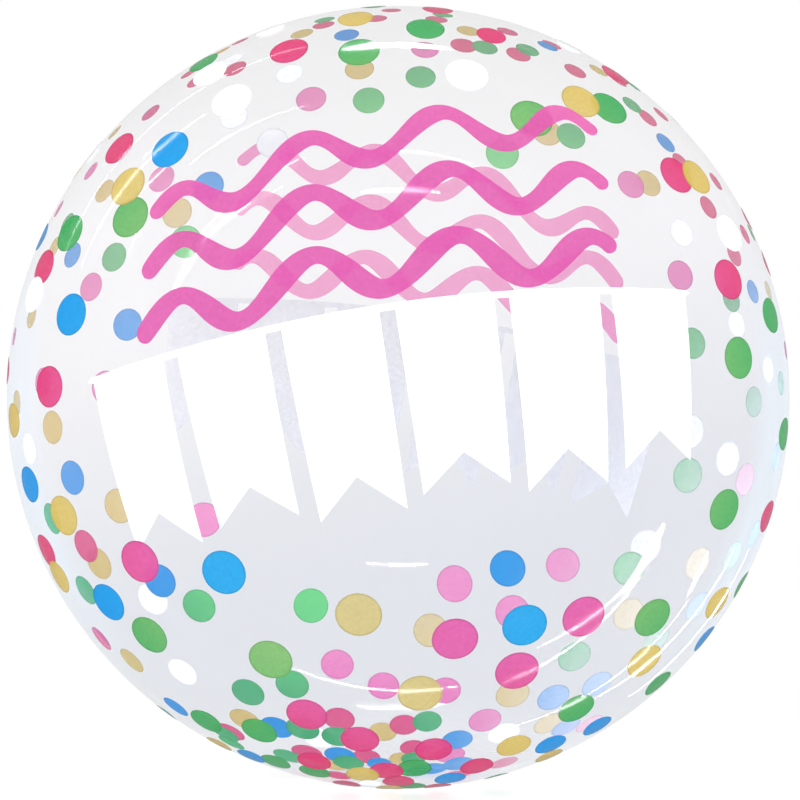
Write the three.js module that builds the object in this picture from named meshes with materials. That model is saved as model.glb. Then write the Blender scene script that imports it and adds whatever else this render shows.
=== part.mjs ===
// A clear bubble balloon: one seamless ball of see-through plastic film, blown up tight and sealed.
// The sealed ball is modelled as one closed solid. It stands on a small flat spot, where the film
// spreads against the surface it lies on.
//
// Frame: millimetres, +Z up, the origin at the middle of the flat spot, the printed front facing -Y.
import * as THREE from "three";

// Driving dimensions
const BALL_DIAMETER = 460;
const FLAT_SPOT_RADIUS = 22;

// Facets
const SEGMENTS_AROUND = 80;
const STEPS_BELOW_EQUATOR = 20;
const STEPS_ABOVE_EQUATOR = 20;

const BALL_RADIUS = BALL_DIAMETER / 2;
// The angle at the ball's centre between straight down and the rim of the flat spot.
const FLAT_SPOT_ANGLE = Math.asin(FLAT_SPOT_RADIUS / BALL_RADIUS);
const CENTRE_HEIGHT = BALL_RADIUS * Math.cos(FLAT_SPOT_ANGLE);

const clearFilm = new THREE.MeshStandardMaterial({
  name: "bubble_film",
  color: 0xe6edf4,
  roughness: 0.05,
  metalness: 0,
  transparent: true,
  opacity: 0.3,
});

// A point of the ball's outline, at an angle measured from straight down. x is the distance from
// the axis and y the height above the surface that the balloon lies on.
function outlinePoint(angle) {
  return new THREE.Vector2(
    BALL_RADIUS * Math.sin(angle),
    CENTRE_HEIGHT - BALL_RADIUS * Math.cos(angle),
  );
}

// The outline from the middle of the flat spot, round the ball's side, up to the crown. A ring of
// points lies on the equator, so that the solid reaches its full diameter.
function ballOutline() {
  const outline = [new THREE.Vector2(0, 0), new THREE.Vector2(FLAT_SPOT_RADIUS, 0)];
  const equator = Math.PI / 2;
  for (let step = 1; step <= STEPS_BELOW_EQUATOR; step++) {
    const share = step / STEPS_BELOW_EQUATOR;
    outline.push(outlinePoint(FLAT_SPOT_ANGLE + share * (equator - FLAT_SPOT_ANGLE)));
  }
  for (let step = 1; step < STEPS_ABOVE_EQUATOR; step++) {
    outline.push(outlinePoint(equator * (1 + step / STEPS_ABOVE_EQUATOR)));
  }
  outline.push(new THREE.Vector2(0, CENTRE_HEIGHT + BALL_RADIUS));
  return outline;
}

function bubbleEnvelope() {
  const geometry = new THREE.LatheGeometry(ballOutline(), SEGMENTS_AROUND);
  const mesh = new THREE.Mesh(geometry, clearFilm);
  mesh.name = "bubble_envelope";
  mesh.rotation.x = Math.PI / 2; // a lathe turns about Y, and the balloon stands along Z
  return mesh;
}

const balloon = new THREE.Group();
balloon.name = "clear_bubble_balloon";
balloon.add(bubbleEnvelope());

export default balloon;
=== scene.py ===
import math

import bpy
from mathutils import Matrix, Vector


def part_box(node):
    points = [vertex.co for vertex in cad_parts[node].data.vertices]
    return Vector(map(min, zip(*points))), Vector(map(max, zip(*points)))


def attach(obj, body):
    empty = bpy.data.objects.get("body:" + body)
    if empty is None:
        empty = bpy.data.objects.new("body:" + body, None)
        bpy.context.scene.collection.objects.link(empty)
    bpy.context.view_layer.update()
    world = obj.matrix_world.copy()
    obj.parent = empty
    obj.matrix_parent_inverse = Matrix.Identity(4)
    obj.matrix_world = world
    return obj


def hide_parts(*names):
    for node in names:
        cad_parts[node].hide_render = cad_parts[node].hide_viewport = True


# A clear bubble balloon: a thin blown film with confetti dots, pennants and
# streamers printed on its outside. Metres throughout, +Z up, printed front to -Y.

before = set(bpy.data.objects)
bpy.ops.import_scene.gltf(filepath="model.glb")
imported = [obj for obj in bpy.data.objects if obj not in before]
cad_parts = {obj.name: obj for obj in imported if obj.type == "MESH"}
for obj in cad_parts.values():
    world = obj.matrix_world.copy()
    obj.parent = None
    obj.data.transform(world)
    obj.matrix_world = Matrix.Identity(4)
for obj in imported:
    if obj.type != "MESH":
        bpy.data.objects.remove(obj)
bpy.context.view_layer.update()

# ---------------------------------------------------------------- sizes

low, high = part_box("bubble_envelope")
BALL_RADIUS = (high.x - low.x) / 2
BALL_CENTRE = Vector(((low.x + high.x) / 2, (low.y + high.y) / 2, high.z - BALL_RADIUS))

# The film lies a little inside the solid ball, so that the ink on it does too.
FILM_THICKNESS = 0.0001
FILM_SET_IN = 0.0004
FILM_RADIUS = BALL_RADIUS - FILM_SET_IN
FILM_SEGMENTS = 192
FILM_RINGS = 96

# Each ink is a thin layer, and each colour lies one step above the one before.
INK_THICKNESS = 0.00002
FIRST_INK_HEIGHT = 0.00006
INK_STEP = 0.00004

BACK_PRINT_TURN = math.radians(177.5)

# ---------------------------------------------------------------- confetti

# Places are (longitude, latitude) in degrees. On the front print longitude is
# counted from the middle of the front, on the back print from the middle of the
# back, both growing towards +X. A third number scales that dot.
FRONT_DOTS = {
    "magenta": (
        (-60, 38), (-67, 19), (-30, 58), (67, 54), (53, 33), (-57, 2), (-82, 4), (-70, -22),
        (-41, -22), (56, 17), (74, -17), (82, 20), (82, 27), (-26, -62), (-19, -48), (9, -33),
        (21, -39), (-9, -54), (9, -57), (-4, -65), (0, -71), (-30, -75), (26, -77), (26, -64),
        (30, -30), (26, 77), (30, 63, 0.8),
    ),
    "blue": (
        (-43, 37), (-79, 24), (-53, 12), (-68, -12), (-53, -29), (-26, -23), (20, -31), (-54, -63),
        (45, -58), (57, -54), (22, -70), (74, -37),
    ),
    "yellow": (
        (-49, 31), (-18, 70), (39, 46), (60, 33), (-73, -3), (-57, -16), (-69, -26), (-6, -29), (4, -43),
        (-64, -60), (-13, -67), (-6, -78), (31, -57), (65, -30), (50, -39), (56, -63),
    ),
    "green": (
        (-45, 26), (-61, 24), (-63, 57), (-10, 57), (9, 65), (25, 42), (46, 45), (55, 6), (70, 12),
        (75, -5), (54, -15), (-46, -34), (-22, -37), (-50, -52), (-34, -53), (-44, -64), (-32, -67),
        (-78, -53), (5, -64), (8, -76), (40, -48), (45, -31), (66, -45), (78, -28), (58, -73), (-31, 83),
    ),
    "white": (
        (-77, 38), (-50, 53), (-35, 46), (15, 51), (-68, 15), (62, 24), (-55, 67), (66, 62),
        (-14, -73, 0.75),
    ),
}
BACK_DOTS = {
    "pink": (
        (-72, 2), (-54, 1), (-61, 17), (-90, 9), (-53, 36), (-82, 36), (-89, 29), (-24, 54), (11, 68),
        (51, 35), (55, 19), (92, 7), (72, -13), (32, -29), (11, -33), (24, -38), (-15, -49), (-4, -54),
        (13, -55), (30, -62), (28, -73), (76, -59), (-36, -21),
    ),
    "magenta": (
        (-84, -39), (-67, -24), (-76, 48), (-60, 60), (-71, 56), (-83, 57), (-90, 66), (-54, 76),
        (-22, 81), (-20, 87), (35, 80), (67, 72), (29, 69), (49, 65), (78, 66), (65, 59), (83, 55),
        (74, 47), (85, 47), (72, 38), (84, 34), (72, 30), (74, 22), (84, 25), (-70, -62), (-48, -71),
        (7, -71), (-18, -74), (-20, -62), (2, -64), (-66, -80), (62, -80), (70, -73),
    ),
    "blue": (
        (-81, -54), (-46, -63), (-50, -31), (-65, -13), (-50, 11), (-40, 35), (-70, 22), (-28, 73),
        (73, 66), (72, 42), (77, 16), (85, -9), (21, -30), (84, -21), (73, -34), (47, -55), (58, -51),
        (66, -61), (25, -68), (41, -76), (28, -79), (19, -80), (-13, -77), (-32, -73),
    ),
    "yellow": (
        (-55, -60), (-77, -44), (-65, -27), (-54, -18), (-69, -5), (-80, 12), (-84, -1), (-45, 30),
        (-69, 33), (-88, 43), (-96, 35), (-79, 23), (-88, 63), (-55, 72), (-13, 62), (42, 74), (79, 58),
        (36, 46), (56, 35), (86, 16), (52, -37), (65, -27), (56, -61), (33, -55), (7, -42), (2, -75),
        (-6, -66), (-44, -76),
    ),
    "green": (
        (-75, -62), (-82, -64), (-63, -71), (-36, -64), (-29, -53), (-18, -37), (-44, -54), (-43, -36),
        (-75, -31), (-76, -19), (-57, 22), (-78, 27), (-41, 25), (-67, 78), (-8, 54), (7, 60), (23, 42),
        (42, 45), (38, 68), (56, 82), (57, 66), (92, 53), (73, 50), (98, 45), (91, 25), (68, 15),
        (85, 2), (72, -1), (55, 8), (55, -13), (47, -29), (44, -46), (66, -41), (77, -25), (-25, -67),
        (10, -63), (9, -75), (-33, -76),
    ),
    "white": (
        (-36, 60), (-29, 44), (59, 26), (68, 11), (78, 4), (54, -6), (65, -10), (49, -25), (-60, -48),
        (-54, -34), (-33, -67), (42, -65), (-68, 62), (-43, 49), (-79, -8),
    ),
}

# Degrees across a dot in the middle of each print: round the print, and away from its middle.
FRONT_DOT_WIDTH = 6.3
FRONT_DOT_LENGTH = 6.4
BACK_DOT_WIDTH = 6.4
BACK_DOT_LENGTH = 7.3

DOT_SIDES = 28
DOT_RINGS = 3


def on_ball(longitude, latitude, facing):
    """A point of the film; facing is -1 on the printed front and +1 on the back."""
    around = math.radians(longitude)
    up = math.radians(latitude)
    level = math.cos(up)
    out = Vector((level * math.sin(around), facing * level * math.cos(around), math.sin(up)))
    return BALL_CENTRE + out * FILM_RADIUS


def share_between(value, start, end):
    """How far a value has come from start to end, from 0 to 1."""
    return min(max((value - start) / (end - start), 0.0), 1.0)


def front_dot_size(latitude, lean):
    """A front dot in degrees: narrower and longer towards the seam, smaller low down.

    lean is its angle from the middle of the print, and the seam is at 90 degrees.
    """
    size = 1 - 0.1 * share_between(-latitude, 42, 57)
    wide = FRONT_DOT_WIDTH * size * (1 - 0.35 * (lean / 82) ** 4)
    long = FRONT_DOT_LENGTH * size * (1 + 0.3 * (lean / 65) ** 2)
    return wide, long


def back_dot_size(longitude, latitude, lean):
    """A back dot in degrees: smaller towards the seam, larger low down on both sides."""
    low_down = share_between(-latitude, -8, 7)
    aside = share_between(abs(longitude), 10, 35)
    size = 1 + 0.0095 * low_down * aside * max(0.0, lean - 42)
    to_seam = min(lean, 90) / 90
    wide = BACK_DOT_WIDTH * size * (1 - 0.57 * to_seam ** 2)
    long = BACK_DOT_LENGTH * size * (1 - 0.6 * to_seam ** 3)
    return wide, long


def dot_spread(longitude, latitude, facing):
    """Width round the print and length away from its middle, as the film stretched each dot."""
    away = math.acos(math.cos(math.radians(latitude)) * math.cos(math.radians(longitude)))
    lean = math.degrees(away)
    if facing < 0:
        wide, long = front_dot_size(latitude, lean)
    else:
        wide, long = back_dot_size(longitude, latitude, lean)
    return degrees_to_film(wide), degrees_to_film(long)


def degrees_to_film(amount):
    """Metres along the film under an angle at the ball's centre."""
    return math.radians(amount) * FILM_RADIUS


# ---------------------------------------------------------------- node helpers


def add(tree, kind, inputs=None, **settings):
    """Adds a node with its settings; inputs are plain values or sockets to join."""
    node = tree.nodes.new(kind)
    for key, value in settings.items():
        setattr(node, key, value)
    for key, value in (inputs or {}).items():
        if isinstance(value, bpy.types.NodeSocket):
            tree.links.new(value, node.inputs[key])
        else:
            node.inputs[key].default_value = value
    return node


def maths(tree, operation, first, second=0.0, third=0.0):
    values = {0: first, 1: second, 2: third}
    return add(tree, "ShaderNodeMath", values, operation=operation).outputs[0]


def vector_maths(tree, operation, first, second=(0.0, 0.0, 0.0)):
    return add(tree, "ShaderNodeVectorMath", {0: first, 1: second}, operation=operation).outputs[0]


def scaled(tree, vector, factor):
    inputs = {0: vector, "Scale": factor}
    return add(tree, "ShaderNodeVectorMath", inputs, operation="SCALE").outputs[0]


def length_of(tree, vector):
    return add(tree, "ShaderNodeVectorMath", {0: vector}, operation="LENGTH").outputs["Value"]


def split(tree, vector):
    """The X, Y and Z of a vector."""
    return add(tree, "ShaderNodeSeparateXYZ", {0: vector}).outputs


def vector_of(tree, x=0.0, y=0.0, z=0.0):
    return add(tree, "ShaderNodeCombineXYZ", {"X": x, "Y": y, "Z": z}).outputs[0]


def ramped(tree, value, start, end, at_start=0.0, at_end=1.0, kind="SMOOTHSTEP"):
    """A number that goes from at_start to at_end while the value goes from start to end."""
    inputs = {0: value, 1: start, 2: end, 3: at_start, 4: at_end}
    return add(tree, "ShaderNodeMapRange", inputs, interpolation_type=kind).outputs[0]


def mixed(tree, factor, first, second):
    """A colour between two."""
    return add(tree, "ShaderNodeMix", {0: factor, 6: first, 7: second}, data_type="RGBA").outputs[2]


def noise(tree, spot, scale, detail):
    inputs = {"Vector": spot, "Scale": scale, "Detail": detail}
    return add(tree, "ShaderNodeTexNoise", inputs).outputs[0]


def carried(tree, name):
    """A number that each point of the geometry carries."""
    return add(tree, "GeometryNodeInputNamedAttribute", {"Name": name}, data_type="FLOAT").outputs[0]


def marked(tree, geometry, name, value):
    """Stores a number on each point of the geometry."""
    inputs = {"Geometry": geometry, "Name": name, "Value": value}
    node = add(tree, "GeometryNodeStoreNamedAttribute", inputs, data_type="FLOAT", domain="POINT")
    return node.outputs[0]


def moved(tree, geometry, position):
    inputs = {"Geometry": geometry, "Position": position}
    return add(tree, "GeometryNodeSetPosition", inputs).outputs[0]


def realized(tree, geometry):
    return add(tree, "GeometryNodeRealizeInstances", {"Geometry": geometry}).outputs[0]


def new_tree(name, inputs, kind="GeometryNodeTree", outputs=(("Geometry", "NodeSocketGeometry"),)):
    """A node group with named inputs, ready to be filled."""
    tree = bpy.data.node_groups.new(name, kind)
    for label, socket in inputs:
        tree.interface.new_socket(label, in_out="INPUT", socket_type=socket)
    for label, socket in outputs:
        tree.interface.new_socket(label, in_out="OUTPUT", socket_type=socket)
    start = tree.nodes.new("NodeGroupInput")
    end = tree.nodes.new("NodeGroupOutput")
    return tree, start.outputs, end.inputs


def grown_mesh(name, seed, tree, values):
    """Runs a geometry tree on the seed mesh and returns its result as a plain mesh."""
    maker = bpy.data.objects.new(name + "_maker", seed)
    bpy.context.scene.collection.objects.link(maker)
    modifier = maker.modifiers.new("maker", "NODES")
    modifier.node_group = tree
    for item in tree.interface.items_tree:
        if item.in_out == "INPUT" and item.name in values:
            modifier[item.identifier] = values[item.name]
    depsgraph = bpy.context.evaluated_depsgraph_get()
    mesh = bpy.data.meshes.new_from_object(maker.evaluated_get(depsgraph))
    bpy.data.objects.remove(maker)
    return mesh


def joined(name, meshes):
    """One mesh piece from several."""
    parts = []
    for mesh in meshes:
        part = bpy.data.objects.new(name, mesh)
        bpy.context.scene.collection.objects.link(part)
        parts.append(part)
    if len(parts) > 1:
        with bpy.context.temp_override(active_object=parts[0], selected_editable_objects=parts):
            bpy.ops.object.join()
    piece = parts[0]
    piece.name = name
    piece.data.name = name
    return piece


# ---------------------------------------------------------------- printing trees

# What the print needs to know of the film, and what each tree that grows a piece takes.
FILM_INPUTS = (
    ("Geometry", "NodeSocketGeometry"),
    ("Ball Centre", "NodeSocketVector"),
    ("Film Radius", "NodeSocketFloat"),
    ("Ink Height", "NodeSocketFloat"),
    ("Ink Thickness", "NodeSocketFloat"),
)
PIECE_INPUTS = FILM_INPUTS + (("Material", "NodeSocketMaterial"),)

SHARP_BEND = math.radians(40)


def finish_piece(tree, given, geometry, result):
    """Smooth over the face of the ink, crisp round its rim, and given its material."""
    smooth = add(tree, "GeometryNodeSetShadeSmooth", {"Geometry": geometry, "Shade Smooth": True})
    bend = add(tree, "GeometryNodeInputMeshEdgeAngle").outputs["Unsigned Angle"]
    sharp = add(tree, "FunctionNodeCompare", {0: bend, 1: SHARP_BEND}, operation="GREATER_THAN")
    rim = {"Geometry": smooth.outputs[0], "Selection": sharp.outputs[0], "Shade Smooth": False}
    crisp = add(tree, "GeometryNodeSetShadeSmooth", rim, domain="EDGE")
    inked = add(
        tree,
        "GeometryNodeSetMaterial",
        {"Geometry": crisp.outputs[0], "Material": given["Material"]},
    )
    tree.links.new(inked.outputs[0], result["Geometry"])


def dot_tree():
    """Small round discs of ink laid on the film at the seed's points."""
    inputs = PIECE_INPUTS + (("Dot Sides", "NodeSocketInt"), ("Dot Rings", "NodeSocketInt"))
    tree, given, result = new_tree("confetti dots", inputs)
    sides = {"Vertices": given["Dot Sides"], "Fill Segments": given["Dot Rings"]}
    sides |= {"Radius": 1.0, "Depth": 1.0}
    disc = add(tree, "GeometryNodeMeshCylinder", sides, fill_type="TRIANGLE_FAN").outputs["Mesh"]
    place = add(tree, "GeometryNodeInputPosition").outputs[0]
    flat = split(tree, place)
    from_middle = length_of(tree, vector_of(tree, flat["X"], flat["Y"]))
    disc = marked(tree, disc, "level", flat["Z"])
    disc = marked(tree, disc, "rim", from_middle)
    outward = vector_maths(tree, "SUBTRACT", place, given["Ball Centre"])
    facing = add(
        tree,
        "FunctionNodeAxesToRotation",
        {"Primary Axis": outward, "Secondary Axis": (0.0, 1.0, 0.0)},
        primary_axis="Z",
        secondary_axis="Y",
    )
    half_width = maths(tree, "MULTIPLY", carried(tree, "dot_width"), 0.5)
    half_length = maths(tree, "MULTIPLY", carried(tree, "dot_length"), 0.5)
    laid = add(
        tree,
        "GeometryNodeInstanceOnPoints",
        {
            "Points": given["Geometry"],
            "Instance": disc,
            "Rotation": facing.outputs[0],
            "Scale": vector_of(tree, half_width, half_length, given["Ink Thickness"]),
        },
    )
    whole = realized(tree, laid.outputs[0])
    lift = maths(tree, "MULTIPLY_ADD", carried(tree, "level"), given["Ink Thickness"], given["Ink Height"])
    radius = maths(tree, "ADD", given["Film Radius"], lift)
    spoke = scaled(tree, vector_maths(tree, "NORMALIZE", outward), radius)
    curved = moved(tree, whole, vector_maths(tree, "ADD", given["Ball Centre"], spoke))
    clean = add(tree, "GeometryNodeRemoveAttribute", {"Geometry": curved, "Name": "level"})
    finish_piece(tree, given, clean.outputs[0], result)
    return tree


def wrap_tree():
    """Lays flat artwork, drawn in X and Y about the middle of the print, on the ball's front."""
    tree, given, result = new_tree("wrap on ball", FILM_INPUTS)
    flat = split(tree, add(tree, "GeometryNodeInputPosition").outputs[0])
    reach = length_of(tree, vector_of(tree, flat["X"], flat["Y"]))
    angle = maths(tree, "DIVIDE", reach, given["Film Radius"])
    spread = maths(tree, "DIVIDE", maths(tree, "SINE", angle), reach)
    direction = vector_of(
        tree,
        maths(tree, "MULTIPLY", flat["X"], spread),
        maths(tree, "MULTIPLY", maths(tree, "COSINE", angle), -1.0),
        maths(tree, "MULTIPLY", flat["Y"], spread),
    )
    side = maths(tree, "MULTIPLY", maths(tree, "SIGN", flat["Z"]), 0.5)
    lift = maths(tree, "MULTIPLY_ADD", side, given["Ink Thickness"], given["Ink Height"])
    spoke = scaled(tree, direction, maths(tree, "ADD", given["Film Radius"], lift))
    bent = moved(tree, given["Geometry"], vector_maths(tree, "ADD", given["Ball Centre"], spoke))
    tree.links.new(bent, result["Geometry"])
    return tree


def printed_twice(tree, given, artwork, wrap):
    """Wraps the artwork on the front and adds its copy on the back."""
    front = tree.nodes.new("GeometryNodeGroup")
    front.node_tree = wrap
    tree.links.new(artwork, front.inputs["Geometry"])
    for label, _ in FILM_INPUTS[1:]:
        tree.links.new(given[label], front.inputs[label])
    spin = {"Geometry": front.outputs[0], "Rotation": vector_of(tree, z=given["Back Turn"])}
    back = add(tree, "GeometryNodeTransform", spin)
    both = tree.nodes.new("GeometryNodeJoinGeometry")
    tree.links.new(front.outputs[0], both.inputs[0])
    tree.links.new(back.outputs[0], both.inputs[0])
    return realized(tree, both.outputs[0])


def unit_slab(tree, points_x, points_y):
    """A slab one unit in size, as a grid that can be bent."""
    inputs = {"Size": (1.0, 1.0, 1.0), "Vertices X": points_x, "Vertices Y": points_y}
    return add(tree, "GeometryNodeMeshCube", inputs).outputs["Mesh"]


def ribbon_tree(wrap):
    """A flat ribbon of ink along the seed's line, as wide as its ribbon_width says."""
    inputs = PIECE_INPUTS + (
        ("Back Turn", "NodeSocketFloat"),
        ("Points Along", "NodeSocketInt"),
        ("Points Across", "NodeSocketInt"),
    )
    tree, given, result = new_tree("printed ribbon", inputs)
    line = add(tree, "GeometryNodeMeshToCurve", {"Mesh": given["Geometry"]}).outputs[0]
    slab = unit_slab(tree, given["Points Along"], given["Points Across"])
    grid = split(tree, add(tree, "GeometryNodeInputPosition").outputs[0])
    follow = {"Curves": line, "Value": carried(tree, "ribbon_width")}
    follow |= {"Factor": maths(tree, "ADD", grid["X"], 0.5)}
    followed = add(tree, "GeometryNodeSampleCurve", follow, mode="FACTOR", data_type="FLOAT").outputs
    sideways = vector_maths(tree, "CROSS_PRODUCT", (0.0, 0.0, 1.0), followed["Tangent"])
    aside = scaled(tree, sideways, maths(tree, "MULTIPLY", grid["Y"], followed["Value"]))
    drawn = vector_maths(tree, "ADD", followed["Position"], aside)
    ribbon = moved(tree, slab, vector_maths(tree, "ADD", drawn, vector_of(tree, z=grid["Z"])))
    finish_piece(tree, given, printed_twice(tree, given, ribbon, wrap), result)
    return tree


def pennant_tree(wrap):
    """Notched flags hung from the seed's points, sized and leaned by its own values."""
    inputs = PIECE_INPUTS + (
        ("Back Turn", "NodeSocketFloat"),
        ("Notch", "NodeSocketFloat"),
        ("Taper", "NodeSocketFloat"),
        ("Points Across", "NodeSocketInt"),
        ("Points Down", "NodeSocketInt"),
    )
    tree, given, result = new_tree("printed pennants", inputs)
    slab = unit_slab(tree, given["Points Across"], given["Points Down"])
    grid = split(tree, add(tree, "GeometryNodeInputPosition").outputs[0])
    down = maths(tree, "SUBTRACT", grid["Y"], 0.5)
    from_middle = maths(tree, "MULTIPLY", maths(tree, "ABSOLUTE", grid["X"]), 2.0)
    cut_back = maths(tree, "MULTIPLY", maths(tree, "SUBTRACT", 1.0, from_middle), given["Notch"])
    length = maths(tree, "SUBTRACT", 1.0, cut_back)
    width = maths(tree, "MULTIPLY_ADD", down, given["Taper"], 1.0)
    x = maths(tree, "MULTIPLY", grid["X"], width)
    y = maths(tree, "MULTIPLY", down, length)
    flag = moved(tree, slab, vector_of(tree, x, y, grid["Z"]))
    hung = add(
        tree,
        "GeometryNodeInstanceOnPoints",
        {
            "Points": given["Geometry"],
            "Instance": flag,
            "Rotation": vector_of(tree, z=carried(tree, "flag_lean")),
            "Scale": vector_of(tree, carried(tree, "flag_width"), carried(tree, "flag_length"), 1.0),
        },
    )
    row = realized(tree, hung.outputs[0])
    finish_piece(tree, given, printed_twice(tree, given, row, wrap), result)
    return tree


# ---------------------------------------------------------------- shader groups

# How fine the patches and the grain are: waves to a metre.
PATCH_SCALE = 11.0
FILM_GRAIN_SCALE = 160.0
INK_GRAIN_SCALE = 420.0

# Painted reflection: the back print is washed towards white in this direction, right and low down.
PAINTED_REFLECTION_CORNER = (0.87, 0.0, -0.5)


def film_tint_and_light_group():
    """Faint haze of blown film, softly patchy, with painted light and shade: lighter upwards and to the
    left, painted shade near the crown, and a painted cool reflection at the sides near the seam.
    """
    inputs = (
        ("Upper Painted Light", "NodeSocketColor"),
        ("Lower Painted Shade", "NodeSocketColor"),
        ("Seam", "NodeSocketColor"),
        ("Crown Painted Shade", "NodeSocketColor"),
        ("Ball Centre", "NodeSocketVector"),
        ("Ball Radius", "NodeSocketFloat"),
        ("Patchiness", "NodeSocketFloat"),
    )
    outputs = (("Color", "NodeSocketColor"), ("Grain", "NodeSocketFloat"))
    tree, given, result = new_tree("film tint and painted light", inputs, "ShaderNodeTree", outputs)
    spot = add(tree, "ShaderNodeTexCoord").outputs["Object"]
    outward = split(tree, vector_maths(tree, "SUBTRACT", spot, given["Ball Centre"]))

    # Places on the ball as shares of its radius: up, to the right, and off the seam's plane.
    rise = maths(tree, "DIVIDE", outward["Z"], given["Ball Radius"])
    across = maths(tree, "DIVIDE", outward["X"], given["Ball Radius"])
    depth = maths(tree, "DIVIDE", maths(tree, "ABSOLUTE", outward["Y"]), given["Ball Radius"])

    # Painted light: the body of the haze turns lighter upwards and to the left, as if lit from there, and
    # painted shade makes it darker below.
    painted_light_slope = maths(tree, "MULTIPLY_ADD", across, -0.25, rise)
    body = mixed(tree, ramped(tree, painted_light_slope, -0.5, 0.5), given["Lower Painted Shade"], given["Upper Painted Light"])
    # Painted reflection: a cool band where the film turns away near the seam, shown at the sides only, not
    # at the shoulder or the foot.
    near_seam = ramped(tree, depth, 0.34, 0.14)
    below_shoulder = ramped(tree, rise, 0.5, 0.0)
    above_foot = ramped(tree, rise, -0.85, -0.35)
    rim_reflection_band = maths(tree, "MULTIPLY", near_seam, below_shoulder)
    seam = maths(tree, "MULTIPLY", rim_reflection_band, above_foot)
    with_rim_reflection = mixed(tree, seam, body, given["Seam"])
    # Painted shade: the haze turns to a darker grey towards the crown.
    with_crown_shade = mixed(tree, ramped(tree, rise, 0.35, 1.0), with_rim_reflection, given["Crown Painted Shade"])

    patch = maths(tree, "SUBTRACT", noise(tree, spot, PATCH_SCALE, 2.0), 0.5)
    shift = maths(tree, "MULTIPLY_ADD", patch, given["Patchiness"], 1.0)
    tree.links.new(scaled(tree, with_crown_shade, shift), result["Color"])
    tree.links.new(noise(tree, spot, FILM_GRAIN_SCALE, 1.0), result["Grain"])
    return tree


def ink_wash_and_light_group():
    """Printed ink: thin in the middle of each side, dense towards the seam, faintly mottled, and on the
    back with painted light, painted shade and a painted reflection.
    """
    inputs = (
        ("Front", "NodeSocketColor"),
        ("Back", "NodeSocketColor"),
        ("Seam", "NodeSocketColor"),
        ("Reflection Wash", "NodeSocketColor"),
        ("Ball Centre", "NodeSocketVector"),
        ("Ball Radius", "NodeSocketFloat"),
        ("Mottle", "NodeSocketFloat"),
    )
    outputs = (("Color", "NodeSocketColor"), ("Grain", "NodeSocketFloat"))
    tree, given, result = new_tree("ink wash and painted light", inputs, "ShaderNodeTree", outputs)
    spot = add(tree, "ShaderNodeTexCoord").outputs["Object"]
    outward = vector_maths(tree, "SUBTRACT", spot, given["Ball Centre"])
    parts = split(tree, outward)
    rise = maths(tree, "DIVIDE", parts["Z"], given["Ball Radius"])
    depth = maths(tree, "DIVIDE", maths(tree, "ABSOLUTE", parts["Y"]), given["Ball Radius"])
    is_back = maths(tree, "GREATER_THAN", parts["Y"], 0.0)

    # Tint: its own on each side, another at the seam, paler in one corner of the back. The back colour is
    # painted light, a lighter and fuller copy of the ink for the print seen from inside.
    towards_seam = ramped(tree, depth, 0.85, 0.4)
    sided = mixed(tree, is_back, given["Front"], given["Back"])
    full = mixed(tree, towards_seam, sided, given["Seam"])
    # Painted reflection: the back print pales towards white in its lower right corner.
    to_corner = add(tree, "ShaderNodeVectorMath", {0: outward, 1: PAINTED_REFLECTION_CORNER}, operation="DOT_PRODUCT")
    corner = maths(tree, "DIVIDE", to_corner.outputs["Value"], given["Ball Radius"])
    reflection_wash = ramped(tree, corner, 0.5, 1.0, at_end=0.65)
    tint = mixed(tree, maths(tree, "MULTIPLY", reflection_wash, is_back), full, given["Reflection Wash"])

    # Level: mottled all over; on the back, painted shade darker high up and painted light brighter
    # towards the seam; and darker in a thin line round each dot.
    grain = noise(tree, spot, INK_GRAIN_SCALE, 2.0)
    mottled = maths(tree, "MULTIPLY_ADD", maths(tree, "SUBTRACT", grain, 0.5), given["Mottle"], 1.0)
    lit = ramped(tree, rise, -0.35, 0.3, 1.0, 0.77, "LINEAR")
    back_painted_light = maths(tree, "MULTIPLY", lit, maths(tree, "MULTIPLY_ADD", towards_seam, 0.35, 1.0))
    shade = add(tree, "ShaderNodeMix", {0: is_back, 2: 1.0, 3: back_painted_light}).outputs[0]
    out_to_rim = add(tree, "ShaderNodeAttribute", attribute_name="rim").outputs["Fac"]
    rim = ramped(tree, out_to_rim, 0.9, 0.96, 1.0, 0.78, "LINEAR")
    level = maths(tree, "MULTIPLY", maths(tree, "MULTIPLY", mottled, shade), rim)
    tree.links.new(scaled(tree, tint, level), result["Color"])
    tree.links.new(grain, result["Grain"])
    return tree


def placed(tree, group, values):
    """A shader group in a material, with that material's own values."""
    node = tree.nodes.new("ShaderNodeGroup")
    node.node_tree = group
    for key, value in values.items():
        node.inputs[key].default_value = value
    return node.outputs


def new_material(name, plain):
    """A material and its Principled shader, with constant values set on its own sockets."""
    material = bpy.data.materials.new(name)
    material.use_nodes = True
    shader = material.node_tree.nodes["Principled BSDF"]
    for key, value in plain.items():
        shader.inputs[key].default_value = value
    return material, material.node_tree, shader.inputs


# ---------------------------------------------------------------- materials

FILM_ALPHA = 0.08
# Colours of the film's haze, with painted light: lighter above, painted shade below, a painted cool
# reflection at the sides, and painted shade at the crown.
FILM_TINTS_AND_LIGHT = {
    "Upper Painted Light": (0.48, 0.45, 0.49, 1.0),
    "Lower Painted Shade": (0.09, 0.14, 0.25, 1.0),
    "Seam": (0.33, 0.61, 0.89, 1.0),
    "Crown Painted Shade": (0.32, 0.32, 0.33, 1.0),
}
BALL_PLACE = {"Ball Centre": BALL_CENTRE, "Ball Radius": BALL_RADIUS}

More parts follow.
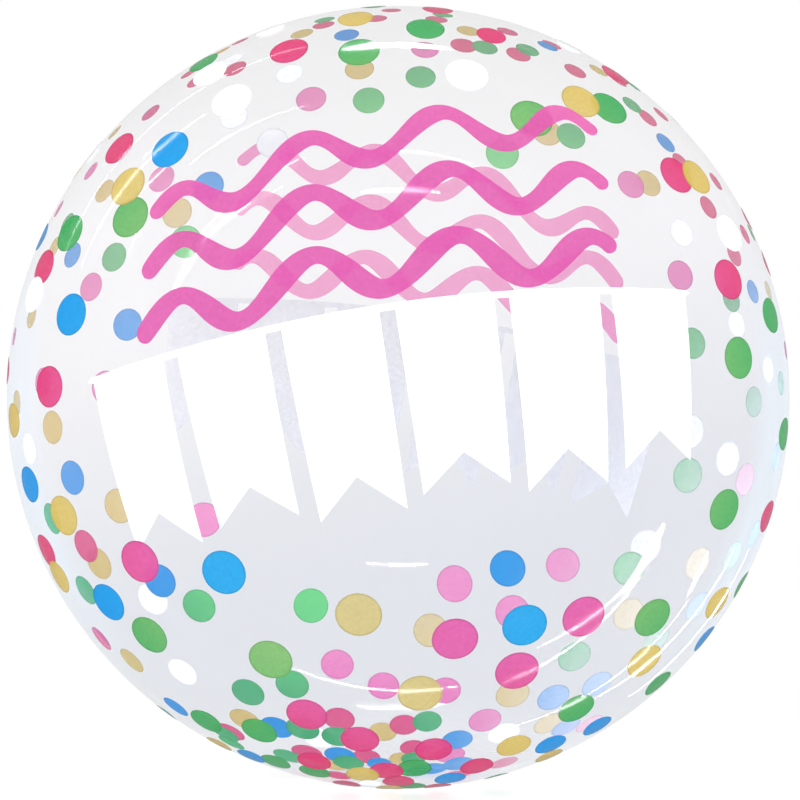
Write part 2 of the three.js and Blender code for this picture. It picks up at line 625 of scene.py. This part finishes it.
# Each ink's colour in the middle of the front, at the seam and in the middle of the back,
# and how much of what is behind it one skin of ink hides. The back colours are painted light:
# lighter, fuller copies of the ink for the back print, seen from inside the ball.
INKS = {
    "white": ((0.95, 0.96, 0.97), (0.95, 0.96, 0.98), (0.90, 0.90, 0.92), 0.85),
    "yellow": ((0.49, 0.41, 0.17), (0.53, 0.39, 0.08), (0.84, 0.69, 0.35), 0.74),
    "green": ((0.19, 0.39, 0.13), (0.03, 0.30, 0.08), (0.17, 0.76, 0.20), 0.80),
    "blue": ((0.02, 0.29, 0.58), (0.00, 0.23, 0.57), (0.00, 0.35, 0.83), 0.88),
    "magenta": ((0.55, 0.09, 0.30), (0.55, 0.03, 0.13), (1.00, 0.00, 0.33), 0.80),
    "pink": ((0.53, 0.08, 0.31), (0.62, 0.11, 0.34), (0.97, 0.30, 0.60), 0.74),
}
INK_MOTTLE = 0.3


def film_material(tint_and_light_group):
    """Clear film: nearly all see-through, with a high gloss and a faint cool haze whose colour carries
    painted light, shade and reflection.
    """
    plain = {"Alpha": FILM_ALPHA, "IOR": 1.5, "Specular IOR Level": 1.0, "Metallic": 0.0}
    material, tree, shader = new_material("bubble_film", plain)
    film_colour_and_light = placed(tree, tint_and_light_group, FILM_TINTS_AND_LIGHT | BALL_PLACE | {"Patchiness": 0.35})
    ripple = {"Height": film_colour_and_light["Grain"], "Strength": 0.01, "Distance": 0.0001}
    gloss = ramped(tree, film_colour_and_light["Grain"], 0.0, 1.0, 0.02, 0.05, "LINEAR")
    tree.links.new(film_colour_and_light["Color"], shader["Base Color"])
    tree.links.new(gloss, shader["Roughness"])
    tree.links.new(add(tree, "ShaderNodeBump", ripple).outputs[0], shader["Normal"])
    return material


def ink_material(name, wash_and_light, front, seam, back, alpha):
    """Printed ink of one colour: see-through, with a soft gloss; its back colour and its wash carry painted
    light, shade and reflection on the back print.
    """
    plain = {"Alpha": alpha, "IOR": 1.45, "Specular IOR Level": 0.12, "Metallic": 0.0}
    material, tree, shader = new_material(name, plain)
    tints = {
        "Front": front + (1.0,),
        "Back": back + (1.0,),
        "Seam": seam + (1.0,),
        "Reflection Wash": (1.0, 1.0, 1.0, 1.0),
    }
    ink = placed(tree, wash_and_light, tints | BALL_PLACE | {"Mottle": INK_MOTTLE})
    gloss = ramped(tree, ink["Grain"], 0.0, 1.0, 0.05, 0.10, "LINEAR")
    tree.links.new(ink["Color"], shader["Base Color"])
    tree.links.new(gloss, shader["Roughness"])
    return material


# ---------------------------------------------------------------- pieces


def skin(radius, floor_height, first):
    """Points and outward faces of one closed skin of the film, cut flat at the floor's height."""
    rim = -math.asin(min(1.0, (BALL_CENTRE.z - floor_height) / radius))
    rows = FILM_RINGS - 1
    points = []
    # The first row is the rim of the flat spot, and the others climb from it to the crown.
    for row in range(rows):
        share = (row + 1) / FILM_RINGS if row else 0.0
        up = rim + (math.pi / 2 - rim) * share
        level = radius * math.cos(up)
        for step in range(FILM_SEGMENTS):
            turn = 2 * math.pi * step / FILM_SEGMENTS
            out = Vector((level * math.cos(turn), level * math.sin(turn), radius * math.sin(up)))
            points.append(BALL_CENTRE + out)
    crown = first + len(points)
    points.append(BALL_CENTRE + Vector((0, 0, radius)))
    foot = first + len(points)
    points.append(Vector((BALL_CENTRE.x, BALL_CENTRE.y, floor_height)))
    faces = []
    for row in range(rows - 1):
        here = first + row * FILM_SEGMENTS
        above = here + FILM_SEGMENTS
        for step in range(FILM_SEGMENTS):
            after = (step + 1) % FILM_SEGMENTS
            faces.append((here + step, here + after, above + after, above + step))
    last = first + (rows - 1) * FILM_SEGMENTS
    for step in range(FILM_SEGMENTS):
        after = (step + 1) % FILM_SEGMENTS
        faces.append((last + step, last + after, crown))
        faces.append((first + after, first + step, foot))
    return points, faces


def film_shell():
    """The blown film, with an outside and an inside skin, standing on its flat spot."""
    points, faces = skin(FILM_RADIUS, low.z, 0)
    inner, inner_faces = skin(FILM_RADIUS - FILM_THICKNESS, low.z + FILM_THICKNESS, len(points))
    faces += [tuple(reversed(face)) for face in inner_faces]
    mesh = bpy.data.meshes.new("clear_film_ball")
    mesh.from_pydata(points + inner, [], faces)
    mesh.shade_smooth()
    return joined("clear_film_ball", [mesh])


def base_values(height, material):
    """What the printing trees are given; each one takes the inputs that it has."""
    return {
        "Ball Centre": BALL_CENTRE,
        "Film Radius": FILM_RADIUS,
        "Ink Height": height,
        "Ink Thickness": INK_THICKNESS,
        "Back Turn": BACK_PRINT_TURN,
        "Material": material,
    }


def seed_mesh(name, points, values, edges=()):
    """Points, or a line of them, that carry named values."""
    mesh = bpy.data.meshes.new(name)
    mesh.from_pydata(points, edges, [])
    for label, numbers in values.items():
        mesh.attributes.new(label, "FLOAT", "POINT").data.foreach_set("value", numbers)
    return mesh


def on_the_ball(piece):
    """Each piece moves with the balloon and casts no shadow."""
    piece.visible_shadow = False
    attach(piece, "root")


def confetti(colour, tree, height, material):
    """All the dots of one ink, on the front print and the back print."""
    points = []
    wide = []
    long = []
    for facing, dots in ((-1, FRONT_DOTS), (1, BACK_DOTS)):
        for longitude, latitude, *size in dots.get(colour, ()):
            spread = dot_spread(longitude, latitude, facing)
            grow = size[0] if size else 1.0
            points.append(on_ball(longitude, latitude, facing))
            wide.append(grow * spread[0])
            long.append(grow * spread[1])
    seed = seed_mesh(colour + "_dots", points, {"dot_width": wide, "dot_length": long})
    values = base_values(height, material) | {"Dot Sides": DOT_SIDES, "Dot Rings": DOT_RINGS}
    name = colour + "_confetti"
    return joined(name, [grown_mesh(name, seed, tree, values)])


def film_point(place):
    """A point of the flat artwork, from degrees about the middle of the print."""
    return Vector((*map(degrees_to_film, place), 0.0))


def drawn_line(name, path, width, steps):
    """A seed line along path(t), in degrees about the print's middle, with rounded ends."""
    points = [film_point(path(step / steps)) for step in range(steps + 1)]
    runs = [0.0]
    for step in range(steps):
        runs.append(runs[-1] + (points[step + 1] - points[step]).length)
    wide = []
    for step in range(steps + 1):
        full = degrees_to_film(width(step / steps))
        near = min(runs[step], runs[-1] - runs[step], full / 2) / (full / 2)
        wide.append(full * math.sqrt(max(0.0, 1 - (1 - near) ** 2)))
    edges = [(step, step + 1) for step in range(steps)]
    return seed_mesh(name, points, {"ribbon_width": wide}, edges)


# Party streamers that fan out: height at the left end, height at the right end, wave offset.
# All their measures are degrees about the middle of the print, and the offset is in radians.
STREAMERS = ((10.0, 20.5, -0.4), (18.5, 31.5, -0.1), (27.0, 42.5, 0.2))
STREAMER_START = -37
STREAMER_RUN = 68
STREAMER_ARCH = 3
STREAMER_WAVE = 3.2
STREAMER_WAVES = 3.5
STREAMER_WIDTH = 2.9
STREAMER_SWELL = 0.4
STREAMER_STEPS = 500


def streamer_width(t):
    """Swells and thins again twice in each wave, like a twisted band."""
    return STREAMER_WIDTH + STREAMER_SWELL * math.sin(2 * math.pi * 2 * STREAMER_WAVES * t)


def streamers(tree, height, material):
    """The wavy ribbons above the pennants, on the front print and the back print."""
    meshes = []
    for number, (left, right, offset) in enumerate(STREAMERS):

        def path(t):
            wave = STREAMER_WAVE * math.sin(2 * math.pi * STREAMER_WAVES * t + offset)
            arch = STREAMER_ARCH * math.sin(math.pi * t)
            return STREAMER_START + STREAMER_RUN * t, left + (right - left) * t + arch + wave

        seed = drawn_line(f"streamer_line_{number}", path, streamer_width, STREAMER_STEPS)
        values = base_values(height, material) | {"Points Along": STREAMER_STEPS, "Points Across": 8}
        meshes.append(grown_mesh(f"streamer_{number}", seed, tree, values))
    return joined("pink_streamers", meshes)


# The pennants and their cord, in degrees about the middle of the print.
CORD_START = -47.0
CORD_END = 44.0
CORD_HEIGHT = 3.0
CORD_CLIMB = 13.5
CORD_ARCH = 3.0
CORD_WIDTH = 0.9
CORD_STEPS = 120
PENNANT_COUNT = 6
PENNANT_WIDTH = 13.2
PENNANT_LENGTH = 26.5
SHORT_PENNANT_LENGTH = 25.0


def cord_path(t):
    """The pennants' cord, climbing to the right in a slight arch."""
    arch = CORD_ARCH * math.sin(math.pi * t)
    return CORD_START + (CORD_END - CORD_START) * t, CORD_HEIGHT + CORD_CLIMB * t + arch


def pennants(ribbon, pennant, height, material):
    """A row of notched flags, every other one a little shorter, with their cord over them."""
    points = []
    wide = []
    long = []
    lean = []
    for number in range(PENNANT_COUNT):
        t = (number + 0.5) / PENNANT_COUNT
        ahead = Vector(cord_path(t + 0.01)) - Vector(cord_path(t - 0.01))
        points.append(film_point(cord_path(t)))
        wide.append(degrees_to_film(PENNANT_WIDTH))
        long.append(degrees_to_film(SHORT_PENNANT_LENGTH if number % 2 else PENNANT_LENGTH))
        lean.append(math.atan2(ahead.y, ahead.x))
    seed = seed_mesh("pennant_places", points, {"flag_width": wide, "flag_length": long, "flag_lean": lean})
    shape = {"Notch": 0.2, "Taper": 0.12, "Points Across": 13, "Points Down": 25}
    flags = grown_mesh("pennant_flags", seed, pennant, base_values(height, material) | shape)
    line = drawn_line("pennant_cord_line", cord_path, lambda t: CORD_WIDTH, CORD_STEPS)
    steps = {"Points Along": 160, "Points Across": 3}
    cord = grown_mesh("pennant_cord", line, ribbon, base_values(height + INK_STEP, material) | steps)
    return joined("white_pennants", [flags, cord])


def balloon():
    """The film and its print, one ink above the other in the order they were laid."""
    film = film_shell()
    film.data.materials.append(film_material(film_tint_and_light_group()))
    on_the_ball(film)
    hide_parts("bubble_envelope")
    wash_and_light = ink_wash_and_light_group()
    inks = {}
    for colour, (front, seam, back, alpha) in INKS.items():
        inks[colour] = ink_material(colour + "_ink", wash_and_light, front, seam, back, alpha)
    wrap = wrap_tree()
    dots = dot_tree()
    ribbon = ribbon_tree(wrap)
    height = FIRST_INK_HEIGHT
    on_the_ball(pennants(ribbon, pennant_tree(wrap), height, inks["white"]))
    height += 2 * INK_STEP
    for colour in ("green", "blue", "pink", "magenta", "yellow", "white"):
        on_the_ball(confetti(colour, dots, height, inks[colour]))
        height += INK_STEP
    on_the_ball(streamers(ribbon, height, inks["pink"]))


# ---------------------------------------------------------------- setting

FLOOR_REACH = 0.45
FLOOR_GAP = 0.0005
FLOOR_ALPHA = 0.35

SKY_LIGHT = 1.7
SKY_IN_GLOSS = 0.3

CAMERA_DISTANCE = 8 * BALL_RADIUS
CAMERA_ELEVATION = math.radians(1.0)
CAMERA_LENS = 140.05
AIM_RIGHT = 0.00098
AIM_DOWN = 0.00160


def floor():
    """A plain pale floor that fades into the white behind it."""
    mesh = bpy.data.meshes.new("pale_floor")
    corners = [(-1, -1), (1, -1), (1, 1), (-1, 1)]
    points = [(x * FLOOR_REACH, y * FLOOR_REACH, -FLOOR_GAP) for x, y in corners]
    mesh.from_pydata(points, [], [(0, 1, 2, 3)])
    piece = bpy.data.objects.new("pale_floor", mesh)
    bpy.context.scene.collection.objects.link(piece)
    material, tree, shader = new_material("pale_floor", {"Roughness": 0.9, "Specular IOR Level": 0.1})
    spot = add(tree, "ShaderNodeTexCoord").outputs["Object"]
    pale = ramped(tree, noise(tree, spot, 3.0, 2.0), 0.0, 1.0, 0.75, 0.77, "LINEAR")
    fading = ramped(tree, length_of(tree, spot), 0.05, FLOOR_REACH, FLOOR_ALPHA, 0.0, "SMOOTHERSTEP")
    tree.links.new(pale, shader["Base Color"])
    tree.links.new(fading, shader["Alpha"])
    mesh.materials.append(material)
    # The floor is only seen: it throws no light on the balloon and shows in no reflection.
    piece.visible_diffuse = False
    piece.visible_glossy = False


def studio_sky():
    """Plain white behind the balloon; a soft sky for its lighting, and dimmer in its gloss."""
    world = bpy.data.worlds.new("studio")
    world.use_nodes = True
    tree = world.node_tree
    tree.nodes.clear()
    way = split(tree, add(tree, "ShaderNodeTexCoord").outputs["Generated"])
    ramp = add(tree, "ShaderNodeValToRGB", {0: maths(tree, "MULTIPLY_ADD", way["Z"], 0.5, 0.5)})
    below, above = ramp.color_ramp.elements
    below.position = 0.3
    below.color = (0.93, 0.95, 0.97, 1.0)
    above.position = 0.7
    above.color = (1.0, 1.0, 1.0, 1.0)
    rays = add(tree, "ShaderNodeLightPath").outputs
    power = ramped(tree, rays["Is Glossy Ray"], 0.0, 1.0, SKY_LIGHT, SKY_IN_GLOSS, "LINEAR")
    sky = add(tree, "ShaderNodeBackground", {"Color": ramp.outputs[0], "Strength": power})
    white = add(tree, "ShaderNodeBackground", {"Color": (1.0, 1.0, 1.0, 1.0), "Strength": 1.0})
    seen = {0: rays["Is Camera Ray"], 1: sky.outputs[0], 2: white.outputs[0]}
    both = add(tree, "ShaderNodeMixShader", seen)
    out = tree.nodes.new("ShaderNodeOutputWorld")
    tree.links.new(both.outputs[0], out.inputs["Surface"])
    bpy.context.scene.world = world


# Lamps that only show as reflections: name, direction from the ball's middle, length, width,
# turn in degrees about that direction, brightness.
GLOSS_LAMPS = (
    ("overhead_box", (0.0, 0.46, 0.89), 0.56, 0.12, 0, 55.0),
    ("front_strip", (0.01, -0.53, 0.85), 0.66, 0.045, 0, 60.0),
    ("left_strip", (-0.72, 0.38, 0.58), 1.15, 0.05, 0, 14.0),
    ("left_rear_strip", (-0.52, 0.60, 0.60), 1.60, 0.02, 0, 16.0),
    ("right_low_wedge", (0.84, -0.04, -0.55), 0.57, 0.10, 3, 75.0),
    ("right_low_line", (0.69, -0.06, -0.72), 1.10, 0.02, -12, 110.0),
    ("right_lower_line", (0.60, 0.01, -0.80), 1.25, 0.02, 1, 90.0),
    ("low_front_line", (-0.09, -0.07, -0.99), 1.20, 0.02, -3, 110.0),
    ("right_outer_strip", (0.61, 0.58, -0.55), 1.00, 0.03, -16, 40.0),
    ("right_outer_line", (0.51, 0.44, -0.74), 1.35, 0.02, -8, 40.0),
    ("right_edge_line", (0.50, 0.77, -0.41), 0.70, 0.02, -16, 40.0),
    ("right_wedge", (0.79, 0.40, -0.47), 0.28, 0.07, 22, 45.0),
)
LAMP_DISTANCE = 2.0


def gloss_lamp(name, direction, length, width, turned, brightness):
    """One long lamp that faces the ball and lights nothing but its gloss."""
    data = bpy.data.lights.new(name, "AREA")
    data.shape = "ELLIPSE"
    data.size = length
    data.size_y = width
    data.energy = brightness * math.pi * length * width
    lamp = bpy.data.objects.new(name, data)
    bpy.context.scene.collection.objects.link(lamp)
    out = Vector(direction).normalized()
    along = Vector((0, 1, 0)).cross(out).normalized()
    across = out.cross(along)
    turn = Matrix((along, across, out)).transposed().to_4x4()
    roll = Matrix.Rotation(math.radians(turned), 4, "Z")
    lamp.matrix_world = Matrix.Translation(BALL_CENTRE + out * LAMP_DISTANCE) @ turn @ roll
    lamp.visible_camera = False
    lamp.visible_diffuse = False


def camera():
    """Eye-level view of the printed front, from eight radii away."""
    data = bpy.data.cameras.new("camera")
    data.lens = CAMERA_LENS
    data.sensor_width = 36
    data.clip_start = 0.05
    data.clip_end = 60
    eye = bpy.data.objects.new("camera", data)
    bpy.context.scene.collection.objects.link(eye)
    back = Vector((0, -math.cos(CAMERA_ELEVATION), math.sin(CAMERA_ELEVATION)))
    eye.location = BALL_CENTRE + back * CAMERA_DISTANCE
    aim = BALL_CENTRE + Vector((AIM_RIGHT, 0, -AIM_DOWN))
    eye.rotation_mode = "QUATERNION"
    eye.rotation_quaternion = (aim - eye.location).to_track_quat("-Z", "Y")
    bpy.context.scene.camera = eye


def main():
    """The balloon on its floor, lit and seen from the front."""
    balloon()
    floor()
    studio_sky()
    for lamp in GLOSS_LAMPS:
        gloss_lamp(*lamp)
    camera()
    # Each skin and each ink that a ray passes counts as one see-through bounce.
    scene = bpy.context.scene
    scene.view_settings.view_transform = "Standard"
    scene.cycles.transparent_max_bounces = 48
    scene.cycles.max_bounces = 4
    scene.cycles.diffuse_bounces = 2
    scene.cycles.glossy_bounces = 2
    scene.cycles.transmission_bounces = 2


main()
